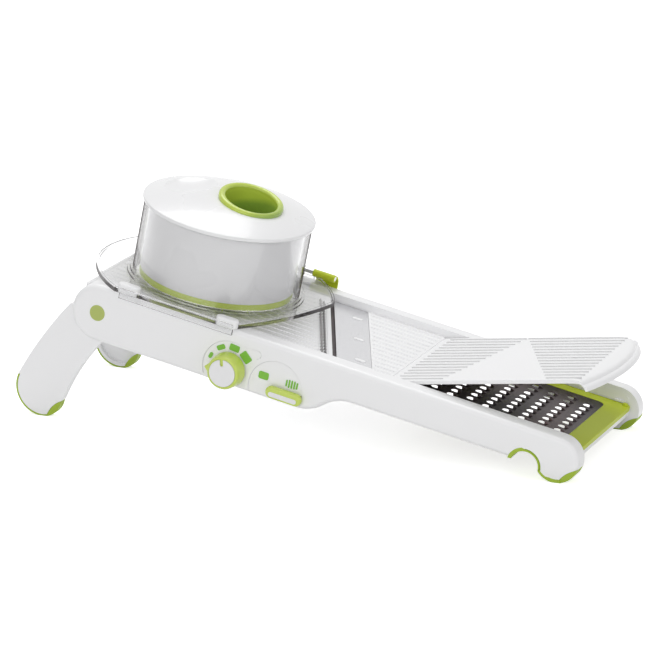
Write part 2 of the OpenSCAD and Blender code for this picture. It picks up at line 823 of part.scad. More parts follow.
module carriage() {
    color(clear) slicer() difference() {
        union() {
            translate([0, 0, plate_low]) linear_extrude(plate_t) plate_outline();
            // raised rim round the plate
            translate([0, 0, plate_low]) linear_extrude(plate_t + 1) difference() {
                plate_outline();
                plate_outline(1.6);
            }
            // side lips that hug the rails' outer faces
            for (s = [-1, 1]) translate([14, s * (plate_half - 0.9) - 0.9, rail_top - lip_drop])
                cube([84, 1.8, lip_drop + 0.4 + plate_t]);
            translate([drum_u, 0, plate_low]) {
                cylinder(r = drum_r, h = drum_top - plate_low);
                cylinder(r = drum_r + drum_flange, h = plate_t + 1.2);
                cylinder(r = drum_r + drum_flange / 2, h = plate_t + 2.6);
            }
            // knuckles for the hook's rod
            for (u = [12, 84]) translate([u, rod_v, 0]) {
                translate([0, 0, rod_w]) rotate([0, 90, 0]) cylinder(r = 3.2, h = 8);
                translate([0, -3.2, plate_low]) cube([8, 6.4, rod_w - plate_low]);
            }
        }
        translate([drum_u, 0, plate_low - 1]) cylinder(r = drum_in, h = 100);
        translate([0, rod_v, rod_w]) rotate([0, 90, 0]) cylinder(r = rod_r + run, h = 110);
        for (u = near_runners) translate([u, runner_in - half_out, runner_low])
            linear_extrude(20) pill(runner[0], runner[1]);
        for (u = far_runners) translate([u, half_out - runner_in, runner_low])
            linear_extrude(20) pill(runner[0], runner[1]);
    }
}

module hook_rod() {
    color(steel) slicer() translate([rod_ends[0], rod_v, rod_w]) rotate([0, 90, 0])
        cylinder(r = rod_r, h = rod_ends[1] - rod_ends[0]);
}

// green clip on the rod: sleeve, curled arm over the rail's edge and tip outside the rail
module hook_at(u) {
    curl = 7;
    curl_v = half_out + gap + 2.2 - curl;
    curl_w = rod_w + hook_r - curl;
    translate([u, 0, 0]) rotate([90, 0, 90]) linear_extrude(hook_len) difference() {
        union() {
            translate([rod_v, rod_w]) circle(r = hook_r);
            intersection() {
                difference() {
                    translate([curl_v, curl_w]) circle(r = curl);
                    translate([curl_v, curl_w]) circle(r = curl - 2.2);
                }
                translate([rod_v, curl_w]) square(2 * curl);
            }
            translate([half_out + gap, rail_top - lip_drop])
                square([2.2, curl_w - rail_top + lip_drop + e]);
        }
        translate([rod_v, rod_w]) circle(r = rod_r);
    }
}

module hook_rear() {
    color(green) slicer() hook_at(rod_ends[0]);
}

module hook_front() {
    color(green) slicer() hook_at(rod_ends[1] - hook_len);
}

// ---- pusher ----

module dome(r, c, base) {
    intersection() {
        translate([0, 0, c]) sphere(r = r, $fn = 200);
        translate([0, 0, base]) cylinder(r = lid_r, h = 60);
    }
}

module scoop_tool(grow) {
    top = dome_c + sqrt(dome_r * dome_r - scoop[0] * scoop[0]);
    translate([scoop[0], 0, top + scoop[2] - scoop_depth]) rotate([0, 90, 0])
        rotate_extrude() translate([scoop[2] - scoop[1], 0]) circle(r = scoop[1] + grow);
}

module well_axis() {
    translate([well_off, 0, well_top]) rotate([0, well_tilt, 0]) children();
}

module lid() {
    color(white) slicer() translate([drum_u, 0, 0]) difference() {
        union() {
            difference() {
                union() {
                    dome(dome_r, dome_c, lid_low + lid_rim - 1);
                    translate([0, 0, lid_low]) cylinder(r = lid_r, h = lid_rim);
                }
                intersection() {
                    translate([0, 0, dome_c]) sphere(r = dome_r - lid_t, $fn = 200);
                    translate([0, 0, lid_low - 1]) cylinder(r = skirt_r - 1.8, h = 60);
                }
            }
            intersection() {
                dome(dome_r, dome_c, lid_low + 1);
                scoop_tool(lid_t);
            }
        }
        scoop_tool(0);
        well_axis() translate([0, 0, -30]) cylinder(r = well_in + 1.9, h = 60);
    }
}

module pusher_skirt() {
    color(white) slicer() translate([drum_u, 0, skirt_low]) difference() {
        cylinder(r = skirt_r, h = lid_low - skirt_low);
        translate([0, 0, -1]) cylinder(r = skirt_r - 1.8, h = 100);
    }
}

module spike_plate() {
    color(green) slicer() translate([drum_u, 0, skirt_low]) {
        difference() {
            translate([0, 0, -4.2]) cylinder(r = skirt_r, h = 4.2);
            translate([0, 0, -1.4]) cylinder(r = skirt_r - 3.2, h = 2);
        }
        for (k = [0:17]) rotate(20 * k) translate([skirt_r - 3.2, 0, -6.6])
            cylinder(r1 = 0.3, r2 = 1.3, h = 2.4 + e, $fn = 16);
        for (k = [0:11]) rotate(30 * k) translate([30, 0, -6.6])
            cylinder(r1 = 0.3, r2 = 1.3, h = 2.4 + e, $fn = 16);
        for (k = [0:5]) rotate(60 * k) translate([13, 0, -6.6])
            cylinder(r1 = 0.3, r2 = 1.3, h = 2.4 + e, $fn = 16);
    }
}

module finger_well() {
    color(green) slicer() translate([drum_u, 0, 0]) well_axis() rotate_extrude() polygon(concat(
        [[0, -well_depth - 2], [well_in - 1.2, -well_depth - 2], [well_in + 1.8, -2]],
        [[well_in + 1.8, -1.15], [well_r - 0.1, -1.4]],
        [for (a = [0:15:180]) [(well_r + well_in) / 2 + (well_r - well_in) / 2 * cos(a), 0.6 + 1.4 * sin(a)]],
        [[well_in, -1], [well_in - 2.8, -well_depth + 3], [well_in - 5.8, -well_depth], [0, -well_depth]]));
}

// ---- flap ----

module flap_frame() {
    translate([flap_u, 0, flap_w]) rotate([0, -flap_raise, 0]) children();
}

module flap_plan(i = 0) {
    intersection() {
        translate([-2, -flap_half + i]) square([flap_len + flap_bow + 4, 2 * (flap_half - i)]);
        translate([flap_len + flap_bow - flap_bow_r, 0]) circle(r = flap_bow_r - i, $fn = 180);
    }
}

module flap() {
    top = deck_top - flap_w;
    color(white) slicer() flap_frame() difference() {
        union() {
            translate([0, 0, top - flap_t]) linear_extrude(flap_t) flap_plan();
            // curved lip at the free end
            translate([0, 0, top - flap_lip]) linear_extrude(flap_lip) difference() {
                flap_plan();
                translate([-2, 0]) flap_plan();
            }
            translate([0, 0, top - flap_lip * 0.62]) linear_extrude(flap_lip * 0.4) difference() {
                translate([1, 0]) flap_plan();
                translate([-1, 0]) flap_plan();
            }
            // hinge barrel
            rotate([90, 0, 0]) cylinder(r = flap_barrel, h = 2 * flap_half, center = true);
            // fine ribs, left bare in a smooth triangle
            for (k = [-ribs:ribs]) let (v = k * rib_pitch, near = (half_in - v) / rail_gap) {
                translate([3, v - rib_w / 2, top - e])
                    cube([57 - 20 * near - 3, rib_w, rib_h + e]);
                translate([66 + 44 * near, v - rib_w / 2, top - e])
                    cube([flap_len - 10 - 66 - 44 * near, rib_w, rib_h + e]);
            }
        }
        rotate([90, 0, 0]) cylinder(r = flap_pin_r + 0.02, h = rail_gap + 10, center = true);
    }
}

module flap_pin() {
    color(steel) slicer() translate([flap_u, 0, flap_w]) rotate([90, 0, 0])
        cylinder(r = flap_pin_r, h = 2 * wall_out, center = true);
}

// ---- grater ----

module grater_window(i = 0) {
    translate([grater_start + 6 - i, -grater_half + grater_side - i])
        square([grater_end - grater_border - grater_start - 6 + 2 * i,
            2 * (grater_half - grater_side + i)]);
}

module grater_frame() {
    color(green) slicer() {
        translate([0, 0, grater_low]) linear_extrude(grater_t) difference() {
            translate([grater_start, -grater_half])
                square([grater_end - grater_start, 2 * grater_half]);
            grater_window();
        }
        translate([grater_end - 3.2, grater_half - 3.2, grater_top - e]) cylinder(r = 1.8, h = 1.6);
    }
}

module grater_sheet() {
    u0 = grater_start + 11;
    color(steel) slicer() {
        translate([0, 0, grater_top - sheet_t - 0.3]) linear_extrude(sheet_t) difference() {
            grater_window(-e);
            for (a = [0:8], b = [-4:4]) translate([u0 + a * hole_pitch_u, (b + (a % 2) / 2 - 0.25) * hole_pitch_v])
                circle(r = hole_r, $fn = 24);
        }
        for (a = [0:8], b = [-4:4])
            translate([u0 + a * hole_pitch_u + hole_r - 0.6, (b + (a % 2) / 2 - 0.25) * hole_pitch_v - 1.9,
                grater_top - 0.3 - e]) cube([1, 3.8, 1]);
    }
}

near_wall();
far_wall();
landing_deck();
front_bar();
foot_bar();
comb_bridge();
near_cover();
far_cover();
near_foot_pad();
far_foot_pad();
near_pivot_cap();
far_pivot_cap();
blade_plate();
dial_marks();
switch_marks();
leg_frame();
near_leg_pad();
far_leg_pad();
dial_knob();
dial_cap();
cam_shaft();
ramp();
switch_slider();
switch_inlay();
switch_wedge();
comb_holder();
julienne_comb();
carriage();
runner_near_rear();
runner_near_front();
runner_far_rear();
runner_far_front();
hook_rod();
hook_rear();
hook_front();
lid();
pusher_skirt();
spike_plate();
finger_well();
flap();
flap_pin();
grater_frame();
grater_sheet();
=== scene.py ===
import math
import bmesh
import bpy
from mathutils import Matrix, Vector


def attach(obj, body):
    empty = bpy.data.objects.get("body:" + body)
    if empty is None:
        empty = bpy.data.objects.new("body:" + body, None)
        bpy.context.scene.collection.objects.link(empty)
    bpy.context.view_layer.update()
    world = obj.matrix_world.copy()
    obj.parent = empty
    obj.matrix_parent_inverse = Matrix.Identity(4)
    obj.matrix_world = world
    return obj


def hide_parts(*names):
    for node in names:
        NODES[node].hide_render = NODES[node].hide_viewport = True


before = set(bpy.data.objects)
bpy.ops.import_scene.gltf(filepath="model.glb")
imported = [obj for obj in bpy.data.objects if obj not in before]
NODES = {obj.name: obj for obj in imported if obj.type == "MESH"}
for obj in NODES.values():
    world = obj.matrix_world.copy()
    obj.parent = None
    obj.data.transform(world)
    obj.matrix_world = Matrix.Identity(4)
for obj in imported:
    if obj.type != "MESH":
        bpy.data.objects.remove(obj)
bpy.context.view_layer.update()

# the slicer's own frame: u down the rails, v across to the far side, w off the deck,
# in millimetres from the leg pivot
TILT = math.radians(11.7)
PIVOT = Vector((-144.262, 4.65, 78.364))
DOWN = Vector((math.cos(TILT), 0, -math.sin(TILT)))
OFF = Vector((math.sin(TILT), 0, math.cos(TILT)))
TO_ROW = Matrix.Scale(0.001, 4) @ Matrix.Translation(PIVOT) @ Matrix((
    (DOWN.x, 0, OFF.x, 0), (0, 1, 0, 0), (DOWN.z, 0, OFF.z, 0), (0, 0, 0, 1)))


# ---- materials ----

def new_material(name):
    mat = bpy.data.materials.new(name)
    mat.use_nodes = True
    nodes = mat.node_tree.nodes
    return mat, nodes, mat.node_tree.links, nodes["Principled BSDF"]


def noise(nodes, links, scale, detail=2.0):
    coords = nodes.new("ShaderNodeTexCoord")
    tex = nodes.new("ShaderNodeTexNoise")
    tex.inputs["Scale"].default_value = scale
    tex.inputs["Detail"].default_value = detail
    links.new(coords.outputs["Object"], tex.inputs["Vector"])
    return tex


def remap(nodes, links, source, low, high):
    """Spreads the middle of the noise's range from low to high."""
    node = nodes.new("ShaderNodeMapRange")
    node.inputs["From Min"].default_value = 0.3
    node.inputs["From Max"].default_value = 0.7
    node.inputs["To Min"].default_value = low
    node.inputs["To Max"].default_value = high
    links.new(source, node.inputs["Value"])
    return node.outputs["Result"]


def blend_colors(nodes, links, bsdf, factor, low, high):
    """Base colour between two linear colours."""
    mix = nodes.new("ShaderNodeMix")
    mix.data_type = "RGBA"
    mix.inputs["A"].default_value = list(low) + [1]
    mix.inputs["B"].default_value = list(high) + [1]
    links.new(factor, mix.inputs["Factor"])
    links.new(mix.outputs["Result"], bsdf.inputs["Base Color"])


def bump(nodes, links, bsdf, height, strength, distance=0.0002):
    node = nodes.new("ShaderNodeBump")
    node.inputs["Strength"].default_value = strength
    node.inputs["Distance"].default_value = distance
    links.new(height, node.inputs["Height"])
    links.new(node.outputs["Normal"], bsdf.inputs["Normal"])


def tint(nodes, links, bsdf, source, color, spread):
    """Base colour that drifts by a small factor with the noise."""
    blend_colors(nodes, links, bsdf, source, [c * (1 - spread) for c in color],
                 [min(1, c * (1 + spread)) for c in color])


def srgb(code):
    """Linear colour of a written sRGB hex code."""
    parts = [int(code[i:i + 2], 16) / 255 for i in (0, 2, 4)]
    return [c / 12.92 if c <= 0.04045 else ((c + 0.055) / 1.055) ** 2.4 for c in parts]


def plastic(name, color, rough, grain=900, grain_depth=0.08, coat=0.0):
    """Moulded plastic: a slow drift of tone and gloss under a fine grain."""
    mat, nodes, links, bsdf = new_material(name)
    cloud = noise(nodes, links, 14, 3)
    tint(nodes, links, bsdf, cloud.outputs["Fac"], color, 0.015)
    links.new(remap(nodes, links, cloud.outputs["Fac"], rough * 0.9, rough * 1.12),
              bsdf.inputs["Roughness"])
    fine = noise(nodes, links, grain, 2)
    bump(nodes, links, bsdf, fine.outputs["Fac"], grain_depth)
    bsdf.inputs["IOR"].default_value = 1.5
    bsdf.inputs["Coat Weight"].default_value = coat
    bsdf.inputs["Coat Roughness"].default_value = 0.08
    return mat


def green_painted_shade(name, deep, pale, low, high):
    """Gloss green with painted shade: it darkens from a height downwards (metres), as shade down
    inside the finger well's cup.
    """
    mat, nodes, links, bsdf = new_material(name)
    coords = nodes.new("ShaderNodeTexCoord")
    split = nodes.new("ShaderNodeSeparateXYZ")
    links.new(coords.outputs["Object"], split.inputs[0])
    painted_shade_mask = nodes.new("ShaderNodeMapRange")
    painted_shade_mask.inputs["From Min"].default_value = low
    painted_shade_mask.inputs["From Max"].default_value = high
    links.new(split.outputs["Z"], painted_shade_mask.inputs["Value"])
    blend_colors(nodes, links, bsdf, painted_shade_mask.outputs["Result"], deep, pale)
    cloud = noise(nodes, links, 14, 3)
    links.new(remap(nodes, links, cloud.outputs["Fac"], 0.2, 0.26), bsdf.inputs["Roughness"])
    bump(nodes, links, bsdf, noise(nodes, links, 900).outputs["Fac"], 0.06)
    bsdf.inputs["Coat Weight"].default_value = 0.3
    return mat


def clear_plastic(name):
    """Clear plastic with a painted dark reflection at its rims, where it turns edge-on to the view,
    and lets lamp light through.
    """
    mat, nodes, links, bsdf = new_material(name)
    cloud = noise(nodes, links, 30, 2)
    links.new(remap(nodes, links, cloud.outputs["Fac"], 0.02, 0.05), bsdf.inputs["Roughness"])
    bump(nodes, links, bsdf, noise(nodes, links, 60, 1).outputs["Fac"], 0.03)
    bsdf.inputs["Base Color"].default_value = (0.97, 0.975, 0.98, 1)
    bsdf.inputs["Transmission Weight"].default_value = 1.0
    bsdf.inputs["IOR"].default_value = 1.46
    output = nodes["Material Output"]
    path = nodes.new("ShaderNodeLightPath")
    either = nodes.new("ShaderNodeMath")
    either.operation = "MAXIMUM"
    links.new(path.outputs["Is Shadow Ray"], either.inputs[0])
    links.new(path.outputs["Is Diffuse Ray"], either.inputs[1])
    clear = nodes.new("ShaderNodeBsdfTransparent")
    clear.inputs["Color"].default_value = (0.93, 0.93, 0.93, 1)
    mix = nodes.new("ShaderNodeMixShader")
    links.new(either.outputs[0], mix.inputs[0])
    # painted dark reflection: a dark diffuse is mixed in where the surface turns edge-on to the
    # view
    weight = nodes.new("ShaderNodeLayerWeight")
    edge = nodes.new("ShaderNodeMapRange")
    edge.inputs["From Min"].default_value = 0.64
    edge.inputs["From Max"].default_value = 0.92
    edge.inputs["To Max"].default_value = 1.0
    links.new(weight.outputs["Facing"], edge.inputs["Value"])
    painted_dark_rim = nodes.new("ShaderNodeBsdfDiffuse")
    painted_dark_rim.inputs["Color"].default_value = (0.13, 0.12, 0.12, 1)
    rim = nodes.new("ShaderNodeMixShader")
    links.new(edge.outputs["Result"], rim.inputs[0])
    links.new(bsdf.outputs[0], rim.inputs[1])
    links.new(painted_dark_rim.outputs[0], rim.inputs[2])
    links.new(rim.outputs[0], mix.inputs[1])
    links.new(clear.outputs[0], mix.inputs[2])
    links.new(mix.outputs[0], output.inputs["Surface"])
    absorb = nodes.new("ShaderNodeVolumeAbsorption")
    absorb.inputs["Color"].default_value = (0.80, 0.78, 0.78, 1)
    absorb.inputs["Density"].default_value = 60
    links.new(absorb.outputs[0], output.inputs["Volume"])
    return mat


def brushed(name, color, rough):
    """Steel with a fine grain drawn out along the slicer."""
    mat, nodes, links, bsdf = new_material(name)
    coords = nodes.new("ShaderNodeTexCoord")
    mapping = nodes.new("ShaderNodeMapping")
    mapping.inputs["Scale"].default_value = (1, 60, 60)
    tex = nodes.new("ShaderNodeTexNoise")
    tex.inputs["Scale"].default_value = 90
    tex.inputs["Detail"].default_value = 3
    links.new(coords.outputs["Object"], mapping.inputs["Vector"])
    links.new(mapping.outputs["Vector"], tex.inputs["Vector"])
    tint(nodes, links, bsdf, tex.outputs["Fac"], color, 0.06)
    links.new(remap(nodes, links, tex.outputs["Fac"], rough * 0.8, rough * 1.25),
              bsdf.inputs["Roughness"])
    bump(nodes, links, bsdf, tex.outputs["Fac"], 0.06, 0.0001)
    bsdf.inputs["Metallic"].default_value = 1.0
    return mat


def steel_painted_reflections(name, warm, dark):
    """Mirror steel with painted reflections: soft warm and dark bands across it."""
    mat, nodes, links, bsdf = new_material(name)
    coords = nodes.new("ShaderNodeTexCoord")
    mapping = nodes.new("ShaderNodeMapping")
    mapping.inputs["Scale"].default_value = (16, 5, 5)
    mapping.inputs["Rotation"].default_value = (0, 0, 0.35)
    tex = nodes.new("ShaderNodeTexNoise")
    tex.inputs["Scale"].default_value = 1.6
    tex.inputs["Detail"].default_value = 1
    links.new(coords.outputs["Object"], mapping.inputs["Vector"])
    links.new(mapping.outputs["Vector"], tex.inputs["Vector"])
    blend_colors(nodes, links, bsdf, remap(nodes, links, tex.outputs["Fac"], 0, 1), warm, dark)
    bsdf.inputs["Roughness"].default_value = 0.3
    bsdf.inputs["Metallic"].default_value = 1.0
    return mat


WHITE = plastic("white_satin", srgb("F7F7F8"), 0.34)
WHITE_GLOSS = plastic("white_gloss", srgb("EEEEEF"), 0.28, coat=0.3)
GREEN = plastic("green_gloss", srgb("CADD62"), 0.28, coat=0.2)
# the finger well's green, with painted shade that darkens it down inside the cup
CUP_PAINTED_SHADE = green_painted_shade("green_cup_painted_shade", srgb("93B048"), srgb("BFD24E"), 0.1425, 0.1468)
SOFT = plastic("green_soft", srgb("A2BC35"), 0.55, grain=1600, grain_depth=0.25)
PRINT = plastic("print_green", srgb("7DBE3C"), 0.45)
FRAME_GREEN = plastic("frame_green", srgb("BFCD30"), 0.42)
FRAME_GREEN.node_tree.nodes["Principled BSDF"].inputs["IOR"].default_value = 1.33
CLEAR = clear_plastic("clear_gloss")
CAP = plastic("green_cap", srgb("B0BD66"), 0.35)
STEEL_MID = brushed("steel_comb", srgb("A2A0A0"), 0.3)
# grey of the flap's ribs: painted shade along the rib steps, on what is the flap's white plastic
RIB_PAINTED_SHADE = plastic("white_rib_painted_shade", srgb("D6D6D7"), 0.4)
STEEL = brushed("steel_plain", srgb("CDCDCF"), 0.3)
# the grater sheet: its warm and dark bands are painted reflections of the flap's dark underside
STEEL_PAINTED_REFLECTIONS = steel_painted_reflections("steel_grater", srgb("57494A"), srgb("2C2C30"))
# the blade's ground bevel: brushed steel made near-black as painted shade of the gap behind the
# ramp
STEEL_PAINTED_SHADE = brushed("steel_bevel_painted_shade", srgb("3A3032"), 0.35)

LOOKS = {
    "green": (GREEN, "green_plastic"), "cup": (CUP_PAINTED_SHADE, "green_plastic"),
    "soft": (SOFT, "green_soft"), "print": (PRINT, "print_green"),
    "frame": (FRAME_GREEN, "green_plastic"), "clear": (CLEAR, "clear_plastic"),
    "steel": (STEEL, "steel"), "grater": (STEEL_PAINTED_REFLECTIONS, "steel"),
    "edge": (STEEL_PAINTED_SHADE, "steel"), "comb": (STEEL_MID, "steel"),
    "cap": (CAP, "green_plastic"), "rib": (RIB_PAINTED_SHADE, "white_plastic"),
    "white": (WHITE, "white_plastic"), "gloss": (WHITE_GLOSS, "white_plastic"),
}
CAD_LOOK = {
    "near_foot_pad": "soft", "far_foot_pad": "soft", "near_leg_pad": "soft",
    "far_leg_pad": "soft", "near_pivot_cap": "cap", "far_pivot_cap": "cap",
    "blade_plate": "steel", "julienne_comb": "comb", "hook_rod": "steel", "flap_pin": "steel",
    "dial_marks": "print", "switch_marks": "print", "dial_knob": "green",
    "switch_slider": "green", "hook_rear": "green", "hook_front": "green",
    "spike_plate": "green", "finger_well": "cup", "grater_frame": "frame",
    "grater_sheet": "grater", "carriage": "clear",
}
for node, obj in NODES.items():
    look = LOOKS[CAD_LOOK.get(node, "white")][0]
    for material_slot in obj.material_slots:
        material_slot.material = look


# ---- mesh helpers: shapes are drawn in the slicer's frame, in millimetres ----

def arc(center, radius, start, end, steps):
    """Points along an arc; angles in degrees."""
    return [(center[0] + radius * math.cos(math.radians(start + (end - start) * k / steps)),
             center[1] + radius * math.sin(math.radians(start + (end - start) * k / steps)))
            for k in range(steps + 1)]


def rounded_box(center, length, width, radius, turn=0, steps=6):
    """Outline of a rectangle with round corners, turned by an angle."""
    points = []
    for k, (sx, sy) in enumerate(((1, 1), (-1, 1), (-1, -1), (1, -1))):
        corner = (sx * (length / 2 - radius), sy * (width / 2 - radius))
        points += arc(corner, radius, 90 * k, 90 * k + 90, steps)
    c, s = math.cos(math.radians(turn)), math.sin(math.radians(turn))
    return [(center[0] + x * c - y * s, center[1] + x * s + y * c) for x, y in points]


def take_mesh(obj):
    """Final mesh of a scratch object as a bmesh; the object is removed."""
    graph = bpy.context.evaluated_depsgraph_get()
    mesh = bpy.data.meshes.new_from_object(obj.evaluated_get(graph))
    bm = bmesh.new()
    bm.from_mesh(mesh)
    bpy.data.meshes.remove(mesh)
    bpy.data.objects.remove(obj)
    return bm


def scratch(data):
    obj = bpy.data.objects.new("scratch", data)
    bpy.context.scene.collection.objects.link(obj)
    return obj


def slab(loops, low, high, edge=0.6, steps=3, side=True):
    """Plate with rounded edges between two levels. side: outlines are (u, w) and the levels are
    across the slicer; otherwise outlines are (u, v) and the levels are heights."""
    curve = bpy.data.curves.new("outline", "CURVE")
    curve.dimensions = "2D"
    curve.fill_mode = "BOTH"
    for loop in loops:
        spline = curve.splines.new("POLY")
        spline.points.add(len(loop) - 1)
        for point, (x, y) in zip(spline.points, loop):
            point.co = (x, y, 0, 1)
        spline.use_cyclic_u = True
    curve.extrude = (high - low) / 2 - edge
    curve.bevel_depth = edge
    curve.offset = -edge
    curve.bevel_resolution = steps
    bm = take_mesh(scratch(curve))
    bmesh.ops.remove_doubles(bm, verts=bm.verts, dist=0.001)
    middle = (high + low) / 2
    for vert in bm.verts:
        x, y, z = vert.co
        vert.co = (x, middle + z, y) if side else (x, y, middle + z)
    bmesh.ops.recalc_face_normals(bm, faces=bm.faces)
    return bm


def revolve(profile, center, steps=96, side=False):
    """Closed or open profile of (radius, level) points turned about an axis. side: the axis runs
    across the slicer through (u, w); otherwise it stands off the deck at (u, v)."""
    bm = bmesh.new()
    rows = []
    for radius, level in profile:
        if radius < 1e-6:
            rows.append([bm.verts.new(place((0, 0), center, level, side))] * steps)
            continue
        rows.append([bm.verts.new(place((radius * math.cos(2 * math.pi * k / steps),
                                         radius * math.sin(2 * math.pi * k / steps)),
                                        center, level, side)) for k in range(steps)])
    for a, b in zip(rows, rows[1:]):
        for k in range(steps):
            corners = []
            for vert in (a[k], a[(k + 1) % steps], b[(k + 1) % steps], b[k]):
                if vert not in corners:
                    corners.append(vert)
            if len(corners) > 2:
                bm.faces.new(corners)
    bmesh.ops.recalc_face_normals(bm, faces=bm.faces)
    return bm


def place(offset, center, level, side):
    x, y = center[0] + offset[0], center[1] + offset[1]
    return (x, level, y) if side else (x, y, level)


def join(*parts):
    bm = parts[0]
    for other in parts[1:]:
        mesh = bpy.data.meshes.new("join")
        other.to_mesh(mesh)
        other.free()
        bm.from_mesh(mesh)
        bpy.data.meshes.remove(mesh)
    return bm


def boolean(bm, other, operation="DIFFERENCE"):
    meshes = []
    for part in (bm, other):
        mesh = bpy.data.meshes.new("operand")
        part.to_mesh(mesh)
        part.free()
        meshes.append(scratch(mesh))
    modifier = meshes[0].modifiers.new("boolean", "BOOLEAN")
    modifier.object = meshes[1]
    modifier.operation = operation
    modifier.solver = "EXACT"
    result = take_mesh(meshes[0])
    bpy.data.objects.remove(meshes[1])
    bmesh.ops.remove_doubles(result, verts=result.verts, dist=0.0005)
    return result


def soften(bm, width, steps=2, angle=30):
    """Rounds the edges that are sharper than the angle, in degrees."""
    bmesh.ops.dissolve_limit(bm, angle_limit=math.radians(1), verts=bm.verts, edges=bm.edges)
    sharp = [edge for edge in bm.edges if edge.is_manifold
             and edge.calc_face_angle(0) > math.radians(angle)]
    bmesh.ops.bevel(bm, geom=sharp, offset=width, segments=steps, profile=0.5,
                    affect="EDGES", clamp_overlap=True)
    return bm


def turned(bm, matrix):
    """The same bmesh, moved by a matrix."""
    bmesh.ops.transform(bm, matrix=matrix, verts=bm.verts)
    return bm


def piece(name, bm, look, body, *nodes, sharp=32):
    """Finished piece in the row frame, riding on a body, standing for the named nodes."""
    mesh = bpy.data.meshes.new(name)
    bm.to_mesh(mesh)
    bm.free()
    mesh.transform(TO_ROW)
    material, finish = LOOKS[look]
    mesh.materials.clear()
    mesh.materials.append(material)
    mesh.polygons.foreach_set("use_smooth", [True] * len(mesh.polygons))
    mesh.polygons.foreach_set("material_index", [0] * len(mesh.polygons))
    mesh.set_sharp_from_angle(angle=math.radians(sharp))
    obj = bpy.data.objects.new(name, mesh)
    bpy.context.scene.collection.objects.link(obj)
    weigh = obj.modifiers.new("weighted_normals", "WEIGHTED_NORMAL")
    weigh.keep_sharp = True
    weigh.weight = 60
    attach(obj, body)
    if nodes:
        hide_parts(*nodes)
    return obj


# ---- sizes shared with the solids ----

HALF_OUT = 67.3  # outer face of the rails
FACE = HALF_OUT + 0.4  # seat of the dial and the switch
DIAL = (100, -8)
SWITCH = (142.5, -12.7)
BLADE_U, BLADE_SWEEP, COMB_BACK = 145, 0.449, 9.75
# the comb's teeth: place across the slicer and offset of their row
TEETH = [(-44 + 2.5 * k, 1.25 if k % 2 else -1.25) for k in range(35)]
DRUM_U = 53.5
FOOT, FOOT_R, NOTCH = (333, 4.15), 15.2, (312.68, -6.2)

# sunk panels round the dial and the switch: depth, radii and the switch's centre
PANEL_T, DIAL_PANEL, PANEL, PANEL_C = 0.5, 19.5, 19.7, (134.8, -11.5)

# finger well: its place on the lid from the drum's axis, leaning down-slope and to the near side
WELL = (Matrix.Translation((15.8, -4.0, 86.25)) @ Matrix.Rotation(math.radians(7.5), 4, "Y")
        @ Matrix.Rotation(math.radians(5.5), 4, "X"))

# flap: its hinge, raised as in the photo; half width, reach, bow and corner of its outline
FLAP = Matrix.Translation((206.77, 0, 12.2)) @ Matrix.Rotation(math.radians(-18.7), 4, "Y")
FLAP_HALF, FLAP_REACH, FLAP_BOW, FLAP_CORNER = 53.6, 149, 10.5, 7
FLAP_TOP, FLAP_T = 2.2, 2.4

# grater: centre, length and width of its frame, the window in it and the spacing of the holes
GRATER_FRAME = ((275.735, 0), 132.5, 107.8)
GRATER_LOW, GRATER_TOP = 5.4, 9.4
WINDOW_START, WINDOW_END, WINDOW_HALF = 215.47, 327, 43.9
HOLE_PITCH_U, HOLE_PITCH_V = 12.8, 8.2


def cad_copy(name):
    """A copy of a CAD node's mesh, in the slicer's frame."""
    mesh = NODES[name].data.copy()
    mesh.transform(TO_ROW.inverted())
    bm = bmesh.new()
    bm.from_mesh(mesh)
    bpy.data.meshes.remove(mesh)
    bmesh.ops.remove_doubles(bm, verts=bm.verts, dist=0.002)
    return bm


def tube(path, radius):
    """Round cutter along a path on the near face, given as (u, w)."""
    curve = bpy.data.curves.new("path", "CURVE")
    curve.dimensions = "3D"
    spline = curve.splines.new("POLY")
    spline.points.add(len(path) - 1)
    for point, (u, w) in zip(spline.points, path):
        point.co = (u, -HALF_OUT + PANEL_T, w, 1)
    curve.bevel_depth = radius
    curve.bevel_resolution = 2
    curve.use_fill_caps = True
    bm = take_mesh(scratch(curve))
    bmesh.ops.recalc_face_normals(bm, faces=bm.faces)
    return bm


# outlines of the two sunk panels
PANELS = (arc(DIAL, DIAL_PANEL, 205, 90, 40) + [(DIAL[0] + 18, DIAL[1] + DIAL_PANEL - 0.6)]
          + arc((DIAL[0] + 18, DIAL[1] + DIAL_PANEL - 3.6), 3, 90, -40, 8),
          arc(PANEL_C, PANEL, 205, -20, 60))

# CAD solids that keep their shape and get rounded edges: node, look, body, rounding, steps
SOLIDS = (
    ("near_cover", "white", "frame", 0.5, 2), ("far_cover", "white", "frame", 0.5, 2),
    ("near_wall", "white", "frame", 0.4, 2), ("far_wall", "white", "frame", 0.4, 2),
    ("landing_deck", "white", "frame", 0.25, 1), ("front_bar", "white", "frame", 0.6, 2),
    ("foot_bar", "white", "frame", 0.6, 2), ("comb_bridge", "white", "frame", 0.4, 2),
    ("far_foot_pad", "soft", "frame", 0.5, 2),
    ("near_leg_pad", "soft", "leg", 0.5, 2), ("far_leg_pad", "soft", "leg", 0.5, 2),
    ("leg_frame", "white", "leg", 1.6, 3), ("ramp", "white", "ramp", 0.25, 1),
    ("carriage", "clear", "carriage", 0.4, 2),
    ("comb_holder", "white", "comb", 0.4, 1))


def build_solids():
    for node, look, body, width, steps in SOLIDS:
        shape = cad_copy(node)
        soften(shape, width, steps)
        if node == "near_cover":
            shape = boolean(shape, join(*[tube(path, 0.5) for path in PANELS]))
        if node == "comb_bridge":
            # the near corner would show below the rail's step
            corner = [(155.4, -60), (180, -60), (180, -33), (156.2, -33)]
            shape = boolean(shape, slab([corner], -22, -14, 0.05, 1, side=False))
        piece(node + "_dressed", shape, look, body, node)


